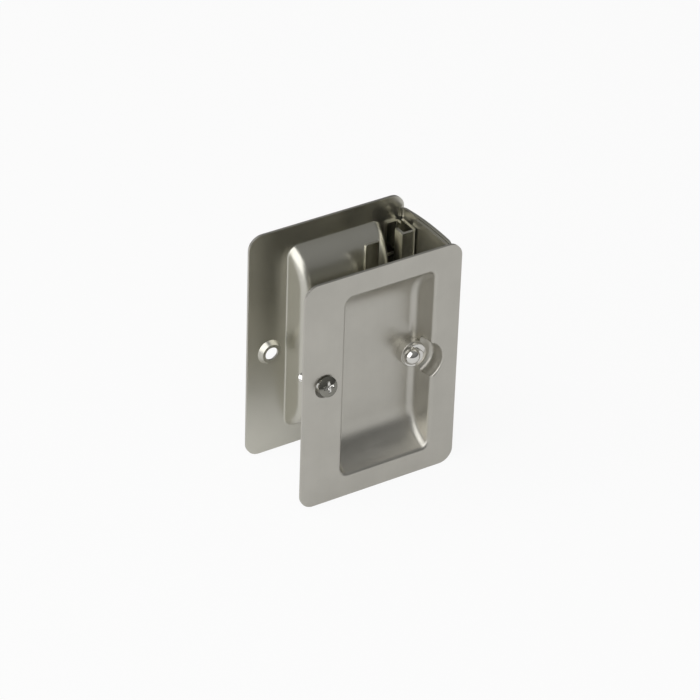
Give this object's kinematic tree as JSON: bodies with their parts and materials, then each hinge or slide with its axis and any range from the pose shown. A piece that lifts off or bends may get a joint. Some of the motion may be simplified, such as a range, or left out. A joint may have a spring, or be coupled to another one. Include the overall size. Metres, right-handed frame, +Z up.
{
  "type": "recessed pocket door latch",
  "caption": "Notched pocket-door privacy latch: stamped pull plates with finger cups, a ball-ended thumb turn, a swinging hook bolt and a loose wood screw.",
  "frame": {"origin": "centre of the bottom of the whole latch's box, on the surface that the plates' bottom edges stand on", "axes": "+X to the door's edge, +Y from the thumb-turn side to the coin-slot side, +Z up"},
  "size_m": [0.0572, 0.0372, 0.0825],
  "materials": {
    "satin_nickel": "satin, fine vertical brushing",
    "bright_nickel": "polished",
    "zinc_steel": "bright zinc plate",
    "spring_steel": "plain spring steel"
  },
  "bodies": {
    "rear_half": {"rear_plate": "satin_nickel", "rear_edge_bracket": "satin_nickel", "latch_case": "zinc_steel"},
    "front_half": {"front_plate": "satin_nickel", "front_edge_bracket": "satin_nickel", "wood_screw": "bright_nickel"},
    "hook": {"hook_bolt": "zinc_steel", "release_spindle": "bright_nickel", "hook_washer": "spring_steel", "hook_clip": "spring_steel"},
    "turn": {"thumb_turn": "bright_nickel", "turn_spindle": "zinc_steel", "turn_washer": "spring_steel", "turn_clip": "spring_steel"}
  },
  "joints": [
    {"name": "width_adjust", "type": "slide", "parent": "rear_half", "child": "front_half", "axis": [0, -1, 0], "range_m": [0, 0.0118]},
    {"name": "hook_pivot", "type": "hinge", "parent": "rear_half", "child": "hook", "pos_m": [0.01607, 0.00141, 0.04127], "axis": [0, -1, 0], "range_deg": [0, 84]},
    {"name": "turn_pivot", "type": "hinge", "parent": "front_half", "child": "turn", "pos_m": [0.01607, 0.00141, 0.04127], "axis": [0, -1, 0], "range_deg": [0, 84]}
  ],
  "couplings": [
    {"joint": "turn_pivot", "follows": "hook_pivot", "ratio": 1}
  ]
}
